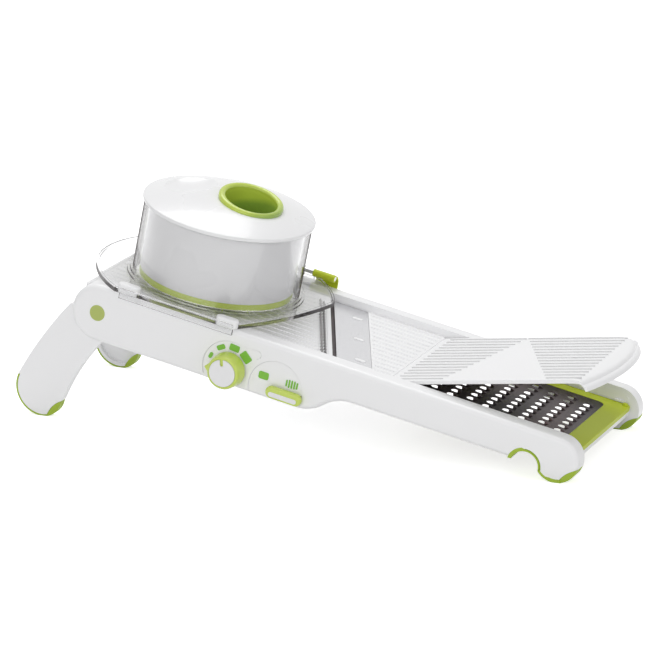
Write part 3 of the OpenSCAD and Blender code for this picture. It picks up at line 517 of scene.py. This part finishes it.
def build_dial():
    skirt = [(0, 0.2), (12.0, 0.2), (12.2, 0.6), (12.15, 2.0), (11.9, 5.0), (11.6, 8.0),
             (11.3, 9.4), (10.9, 10.3), (10.3, 10.8), (9.6, 10.9), (9.45, 10.7), (9.45, 10.0),
             (0, 10.0)]
    knob = revolve([(r, -(FACE + level)) for r, level in skirt], DIAL, 96, side=True)
    beak = slab([rounded_box((0, 0), 4.2, 4.2, 0.8, 45)], -(FACE + 7.5), -(FACE + 0.3), 0.7)
    turned(beak, Matrix.Translation((DIAL[0] - 11.8, 0, DIAL[1] - 0.6)))
    piece("dial_knob_dressed", boolean(knob, beak, "UNION"), "green", "dial", "dial_knob")
    # the cap's round outline with a notch cut in at an angle
    radius, notch, turn = 9.3, 1.15, 103
    cx, cy = math.cos(math.radians(turn)), math.sin(math.radians(turn))
    gap_half = math.degrees(math.asin(notch / radius))
    rim = arc((0, 0), radius, turn + gap_half, turn - gap_half + 360, 72)
    inner = arc((cx * (radius - 3.4), cy * (radius - 3.4)), notch, turn - 90, turn - 270, 10)
    outline = [(DIAL[0] + x, DIAL[1] + y) for x, y in rim + inner]
    piece("dial_cap_dressed", slab([outline], -(FACE + 11.2), -(FACE + 10.02), 0.3),
          "gloss", "dial", "dial_cap")


def pill_outline(center, length, width, steps=12):
    half = (length - width) / 2
    return (arc((center[0] + half, center[1]), width / 2, -90, 90, steps)
            + arc((center[0] - half, center[1]), width / 2, 90, 270, steps))


def build_switch():
    body = slab([pill_outline(SWITCH, 26, 8.6)], -(FACE + 4.5), -FACE, 1.8, 5)
    neck = slab([rounded_box((SWITCH[0] + 8, SWITCH[1]), 6, 4.6, 0.4)], -(FACE + 1), -60.2, 0.2, 1)
    piece("switch_slider_dressed", boolean(body, neck, "UNION"), "green", "switch",
          "switch_slider")
    inlay = (SWITCH[0], SWITCH[1] - 0.9)
    piece("switch_inlay_dressed", slab([pill_outline(inlay, 20.5, 3.3)], -(FACE + 5.0),
          -(FACE + 4.2), 0.35), "gloss", "switch", "switch_inlay")


def printed(loops):
    """Thin plates let into the near face."""
    return slab(loops, -(HALF_OUT - 0.05), -(HALF_OUT - 0.7), 0.12, 1)


def build_marks():
    loops = []
    for k, (wide, long) in enumerate(((2.4, 4.4), (3.4, 6.0), (4.6, 7.2), (5.8, 8.0))):
        turn = 160 - 37.2 * k
        at = (DIAL[0] + 15.4 * math.cos(math.radians(turn)),
              DIAL[1] + 15.4 * math.sin(math.radians(turn)))
        loops.append(rounded_box(at, wide, long, 1.0, turn))
    piece("dial_marks_dressed", printed(loops), "print", "frame", "dial_marks")
    loops = [rounded_box((SWITCH[0] - 17.5, SWITCH[1] + 8.1), 7.2, 5.2, 1.3)]
    for k in range(-2, 3):
        loops.append(rounded_box((SWITCH[0] + 3.1 + 1.9 * k, SWITCH[1] + 8.3), 1.1,
                                 5.6 if abs(k) < 2 else 4.6, 0.5))
    piece("switch_marks_dressed", printed(loops), "print", "frame", "switch_marks")


def blade_line(v):
    return BLADE_U - BLADE_SWEEP * v


def comb_line(v):
    return BLADE_U - COMB_BACK - BLADE_SWEEP * v


def strip(line, back, front, half):
    """Outline of a strip along the blade or the comb."""
    return [(line(-half) + back, -half), (line(-half) + front, -half),
            (line(half) + front, half), (line(half) + back, half)]


def build_blade_edge():
    """Ground bevel of the blade, seen through the gap behind the ramp; its near-black steel is
    painted shade of that gap.
    """
    outline = strip(blade_line, -2.7, 0.4, 53)
    piece("blade_bevel", slab([outline], 10.6, 12.9, 0.2, 1, side=False), "edge", "frame")


def build_comb_grid():
    """White grid that fills the ramp's slot round the comb's teeth."""
    outline = strip(comb_line, -3.5, 3.5, 48)
    holes = [rounded_box((comb_line(v) + row, v), 3.0, 1.5, 0.3)
             for v, row in TEETH[::2] + TEETH[1::2]]
    piece("comb_grid", slab([outline] + holes, 12.4, 14.3, 0.1, 1, side=False), "white", "ramp")


def build_comb():
    carrier = strip(comb_line, -2.6, 2.6, 45.5)
    parts = [slab([carrier], 3.2, 4.0, 0.1, 1, side=False)]
    for v, row in TEETH:
        u = comb_line(v) + row
        tooth = [(u - 1, 3.4), (u + 1, 3.4), (u + 1, 14.9), (u - 0.2, 16.5), (u - 1, 14.9)]
        parts.append(slab([tooth], v - 0.4, v + 0.4, 0.08, 1))
    piece("julienne_comb_dressed", join(*parts), "comb", "comb", "julienne_comb")


def build_runners():
    """White blocks that ride on the rails, in the edges of the clear plate."""
    for name, u, side in (("near_rear", 18.8, -1), ("near_front", 91.8, -1),
                          ("far_rear", 32, 1), ("far_front", 72, 1)):
        center = (u, side * (HALF_OUT - 2.4))
        bm = slab([pill_outline(center, 16, 7)], 19.6, 25.9, 1.3, 4, side=False)
        piece("runner_" + name + "_dressed", bm, "white", "carriage", "runner_" + name)


def build_hinge_strip():
    """Fills the gap between the landing deck and the flap's barrel."""
    outline = rounded_box((204.2, 0), 1.5, 106, 0.3)
    piece("hinge_strip", slab([outline], 12.7, 14.35, 0.2, 1, side=False), "white", "frame")


def build_near_pad():
    """Soft lining of the near foot with its band round the notch and under the foot."""
    band = arc(NOTCH, 9.75, 168.8, -3, 40) + arc(NOTCH, 10.8, 2, 90, 16)
    band += arc(NOTCH, 12.2, 108, 160, 12) + [(300.58, -4.3)]
    under = arc(FOOT, FOOT_R, 226, 296, 30) + arc(FOOT, FOOT_R - 2.6, 290, 262, 8)
    under += arc(FOOT, FOOT_R - 1.7, 250, 222, 8)
    bands = [slab([loop], -(HALF_OUT + 0.15), -(HALF_OUT - 2), 0.12, 1) for loop in (band, under)]
    pad = soften(cad_copy("near_foot_pad"), 0.5, 2)
    piece("near_foot_pad_dressed", join(pad, *bands), "soft", "frame", "near_foot_pad")


def build_grater():
    middle, length = (WINDOW_START + WINDOW_END) / 2, WINDOW_END - WINDOW_START
    rim = [rounded_box(*GRATER_FRAME, 2.2),
           rounded_box((middle, 0), length, 2 * WINDOW_HALF, 5.5)]
    boss = revolve([(0, 9), (1.9, 9), (1.9, 10.4), (1.5, 10.9), (0, 10.9)], (338.8, 50.7), 32)
    piece("grater_frame_dressed", join(slab(rim, GRATER_LOW, GRATER_TOP, 0.7, 3, side=False), boss),
          "frame", "grater", "grater_frame")
    outline = rounded_box((middle, 0), length + 1, 2 * WINDOW_HALF + 1, 5.5)
    holes, lips = [], []
    for a in range(1, 9):
        for b in range(-5, 6):
            u = 216.4 + a * HOLE_PITCH_U
            v = (b + (a % 2) / 2 - 0.25) * HOLE_PITCH_V
            if abs(v) > WINDOW_HALF - 6:
                continue
            holes.append(rounded_box((u, v), 6.2, 5.4, 2.4, -8))
            lips.append((u + 2.4, v))
    bm = slab([outline] + holes, 8.5, 9.1, 0.08, 1, side=False)
    # a raised cutting lip behind each hole
    for u, v in lips:
        tooth = [(-0.2, -2.5, 0), (2.6, -1.4, 0), (2.6, 1.4, 0), (-0.2, 2.5, 0),
                 (-0.6, -1.9, 1.3), (-0.6, 1.9, 1.3), (0.5, -1.2, 1.3), (0.5, 1.2, 1.3)]
        verts = [bm.verts.new((u + x, v + y, 9.0 + z)) for x, y, z in tooth]
        for ids in ((0, 1, 2, 3), (4, 5, 7, 6), (0, 4, 6, 1), (1, 6, 7, 2), (2, 7, 5, 3),
                    (3, 5, 4, 0)):
            bm.faces.new([verts[i] for i in ids])
    bmesh.ops.recalc_face_normals(bm, faces=bm.faces)
    piece("grater_sheet_dressed", bm, "grater", "grater", "grater_sheet")


def build_drum_insides():
    """Skirt and spike plate, a little narrower so that the clear wall shows round them."""
    narrow = 0.968
    for node, look in (("pusher_skirt", "gloss"), ("spike_plate", "green")):
        bm = cad_copy(node)
        turned(bm, Matrix.Translation((DRUM_U, 0, 0)) @ Matrix.Diagonal((narrow, narrow, 1, 1))
               @ Matrix.Translation((-DRUM_U, 0, 0)))
        piece(node + "_dressed", soften(bm, 0.3, 2), look, "pusher", node)


def build_lid():
    low, out, top, dome = 73.8, 59.2, 86.7, 175.28

    def level(r):
        """Height of the dome's outer face."""
        return top - dome + math.sqrt(dome * dome - r * r)

    profile = [(0, 77.4), (30, 77.1), (50, 76.2), (52.6, 75.6), (52.7, low), (out - 1.0, low)]
    profile += arc((out - 1.0, low + 1.0), 1.0, -90, 0, 6)[1:]
    profile += arc((out - 1.1, low + 1.7), 1.1, 0, 72, 6)
    profile += [(out - 1.6 - k * (out - 1.6) / 28, level(out - 1.6 - k * (out - 1.6) / 28))
                for k in range(29)]
    bm = revolve(profile, (0, 0), 160)
    # finger scoop, then the hole for the well
    ball = revolve(arc((0, 0), 1, -90, 90, 48), (0, 0), 96)
    dish = (Matrix.Translation((-32, 0, level(32) + 7.2)) @ Matrix.Rotation(-0.183, 4, "Y")
            @ Matrix.Diagonal((22.9, 28.6, 12, 1)))
    bm = boolean(bm, turned(ball, dish))
    drill = revolve([(0, -30), (20.7, -30), (20.7, 30), (0, 30)], (0, 0), 120)
    bm = boolean(bm, turned(drill, WELL))
    soften(bm, 0.45, 2, 22)
    piece("lid_dressed", turned(bm, Matrix.Translation((DRUM_U, 0, 0))), "gloss", "pusher",
          "lid", sharp=40)


def build_well():
    middle, half = 20.2, 2.3
    profile = [(0, -38), (12.4, -38), (14.2, -37), (15.1, -35), (17.2, -3), (17.9, -1)]
    profile += [(middle - half * math.cos(math.radians(a)),
                 0.4 + 1.9 * math.sin(math.radians(a))) for a in range(0, 181, 12)]
    profile += [(22.4, -1.2), (20.5, -1.4), (20.4, -2.2), (17.4, -40), (0, -40)]
    bm = revolve(profile, (0, 0), 128)
    turned(bm, Matrix.Translation((DRUM_U, 0, 0)) @ WELL)
    piece("finger_well_dressed", bm, "cup", "pusher", "finger_well", sharp=50)


def flap_end(v):
    """How far the flap reaches at a place across it; its far corner is round."""
    bow_r = (FLAP_HALF ** 2 + FLAP_BOW ** 2) / (2 * FLAP_BOW)
    end = FLAP_REACH - bow_r + math.sqrt(bow_r * bow_r - v * v)
    corner = FLAP_HALF - FLAP_CORNER
    if v > corner:
        end -= FLAP_CORNER - math.sqrt(max(0, FLAP_CORNER ** 2 - (v - corner) ** 2))
    return end


def build_flap():
    # the end's section: distance from the end and depth below the top
    lip = [(-15, 0), (-11.5, 0.1), (-8.0, 0.35), (-5.2, 0.9), (-3.9, 1.7), (-3.3, 2.7),
           (-3.0, 3.9), (-2.5, 4.1), (-1.7, 4.5), (-0.9, 5.2), (-0.25, 6.2), (0, 7.7),
           (-0.2, 8.0), (-1.5, 8.0), (-1.9, 7.0), (-2.3, 5.6), (-2.9, 4.9), (-3.6, 4.4),
           (-4.0, 3.4), (-5.0, 3.0), (-7, 2.6), (-12, 2.4)]
    barrel = arc((0, 0), 2.55, 262, 120, 14)
    across = [-FLAP_HALF + 2 * FLAP_HALF * k / 48 for k in range(44)]
    across += [FLAP_HALF - FLAP_CORNER + FLAP_CORNER * math.sin(math.radians(a))
               for a in (20, 32, 44, 56, 68, 79, 90)]
    bm = bmesh.new()
    rows = []
    for v in sorted(across):
        end = flap_end(v)
        # the lip fades out at the round far corner, which closes over the grater's rail
        deep = 1 if v < 0 else min(1, max(0, (end - 136.9) / 2.1))
        outline = barrel + [(end + x, FLAP_TOP - min(d, FLAP_T + max(0, d - FLAP_T) * deep))
                            for x, d in lip] + [(3, FLAP_TOP - FLAP_T)]
        rows.append([bm.verts.new((x, v, z)) for x, z in outline])
    for a, b in zip(rows, rows[1:]):
        for k in range(len(a)):
            bm.faces.new((a[k], a[(k + 1) % len(a)], b[(k + 1) % len(a)], b[k]))
    bm.faces.new(rows[0])
    bm.faces.new(rows[-1][::-1])
    bmesh.ops.recalc_face_normals(bm, faces=bm.faces)
    sharp = [e for e in bm.edges if e.is_manifold and e.calc_face_angle(0) > math.radians(55)]
    bmesh.ops.bevel(bm, geom=sharp, offset=0.4, segments=2, profile=0.5, affect="EDGES",
                    clamp_overlap=True)

    # fine ribs, left bare in a smooth triangle; their grey is painted shade of the rib steps
    lines = bmesh.new()
    for k in range(-7, 8):
        v = 7 * k
        left = 60 - 23 * (51 - v) / 101
        right = 60 + 49.5 * (51 - v) / 101
        far = 133.8 - 2.3 * (v + 53) / 106
        for start, end in ((4, left), (right, far)):
            if end - start > 1:
                made = bmesh.ops.create_cube(lines, size=1)["verts"]
                bmesh.ops.scale(lines, vec=(end - start, 0.9, 0.9), verts=made)
                bmesh.ops.translate(lines, vec=((start + end) / 2, v, FLAP_TOP + 0.05),
                                    verts=made)
    soften(lines, 0.12, 1)
    piece("flap_ribs", turned(lines, FLAP), "rib", "flap", "flap")
    piece("flap_dressed", turned(bm, FLAP), "white", "flap", "flap", sharp=28)


def build_hooks():
    """Slim green sleeves on the rod, each with a claw over the far rail."""
    for name, start, end in (("hook_rear", -10, 5.5), ("hook_front", 99.6, 116)):
        center, sleeve = (61, 26.9), 2.6
        claw = arc((61.6, 20.4), 8.2, 60, 0, 10) + [(69.8, 16.2), (68.4, 16.2)]
        claw += arc((61.6, 20.4), 6.8, 0, 60, 10)
        outline = arc(center, sleeve, 300, 30, 24) + claw
        bm = slab([outline], start, end, 0.35, 2, side=False)
        # the outline is (v, w) and its length runs down the rails
        bm = turned(bm, Matrix(((0, 0, 1, 0), (1, 0, 0, 0), (0, 1, 0, 0), (0, 0, 0, 1))))
        hole = revolve([(0, 0), (1.75, 0), (1.75, 7), (0, 7)], (0, 0), 32)
        turned(hole, Matrix.Translation((end - 6.5, center[0], center[1]))
               @ Matrix.Rotation(math.pi / 2, 4, "Y"))
        piece(name + "_dressed", boolean(bm, hole), "frame", "hook", name)


build_solids()
build_dial()
build_switch()
build_marks()
build_blade_edge()
build_comb()
build_runners()
build_comb_grid()
build_hinge_strip()
build_near_pad()
build_grater()
build_drum_insides()
build_lid()
build_well()
build_flap()
build_hooks()


# ---- stage ----

def seen_rays(nodes, links):
    """1 for rays of the camera, of reflections and through clear plastic."""
    path = nodes.new("ShaderNodeLightPath")
    total = path.outputs["Is Camera Ray"]
    for name in ("Is Glossy Ray", "Is Transmission Ray"):
        node = nodes.new("ShaderNodeMath")
        node.operation = "MAXIMUM"
        links.new(total, node.inputs[0])
        links.new(path.outputs[name], node.inputs[1])
        total = node.outputs[0]
    return total


def build_stage():
    mesh = bpy.data.meshes.new("floor")
    mesh.from_pydata([(-4, -4, 0), (4, -4, 0), (4, 6, 0), (-4, 6, 0)], [], [(0, 1, 2, 3)])
    floor = bpy.data.objects.new("floor", mesh)
    bpy.context.scene.collection.objects.link(floor)
    mat, nodes, links, bsdf = new_material("floor")
    bsdf.inputs["Base Color"].default_value = (0.88, 0.88, 0.88, 1)
    bsdf.inputs["Roughness"].default_value = 0.9
    bsdf.inputs["Specular IOR Level"].default_value = 0.0
    glow = nodes.new("ShaderNodeMath")
    glow.operation = "MULTIPLY"
    glow.inputs[1].default_value = 0.68
    links.new(seen_rays(nodes, links), glow.inputs[0])
    links.new(glow.outputs[0], bsdf.inputs["Emission Strength"])
    bsdf.inputs["Emission Color"].default_value = (1, 1, 1, 1)
    mesh.materials.append(mat)

    world = bpy.data.worlds.new("studio")
    bpy.context.scene.world = world
    world.use_nodes = True
    nodes, links = world.node_tree.nodes, world.node_tree.links
    strength = nodes.new("ShaderNodeMath")
    strength.operation = "MULTIPLY_ADD"
    strength.inputs[1].default_value = 0.55
    strength.inputs[2].default_value = 0.45
    links.new(seen_rays(nodes, links), strength.inputs[0])
    nodes["Background"].inputs["Color"].default_value = (1, 1, 1, 1)
    links.new(strength.outputs[0], nodes["Background"].inputs["Strength"])

    def lamp(name, place, aim, size, power):
        light = bpy.data.lights.new(name, "AREA")
        light.shape = "RECTANGLE"
        light.size, light.size_y = size
        light.energy = power
        obj = bpy.data.objects.new(name, light)
        obj.location = place
        obj.rotation_euler = (Vector(aim) - Vector(place)).to_track_quat("-Z", "Y").to_euler()
        bpy.context.scene.collection.objects.link(obj)

    lamp("key", (-0.3, 0.5, 1.45), (0, 0, 0.05), (1.0, 1.0), 10.2)
    lamp("fill", (0.15, -1.7, 0.75), (0.05, 0, 0.08), (1.6, 0.9), 7.5)
    lamp("side", (1.7, -0.5, 0.7), (0, 0, 0.08), (0.8, 0.8), 3)


def build_camera():
    azimuth, elevation, roll = (math.radians(a) for a in (22.931, 16.344, -0.192))
    back = Vector((math.sin(azimuth) * math.cos(elevation),
                   -math.cos(azimuth) * math.cos(elevation), math.sin(elevation)))
    right = Vector((math.cos(azimuth), math.sin(azimuth), 0))
    up = back.cross(right)
    right, up = (right * math.cos(roll) + up * math.sin(roll),
                 up * math.cos(roll) - right * math.sin(roll))
    target = (PIVOT + Vector((140.842, 0, -14.501))) / 1000
    data = bpy.data.cameras.new("camera")
    data.sensor_width = 36
    data.lens = 218.2
    camera = bpy.data.objects.new("camera", data)
    rot = Matrix((right, up, back)).transposed().to_4x4()
    camera.matrix_world = Matrix.Translation(target + back * 2.6919) @ rot
    bpy.context.scene.collection.objects.link(camera)
    bpy.context.scene.camera = camera


build_stage()
build_camera()
bpy.context.scene.view_settings.view_transform = "Standard"
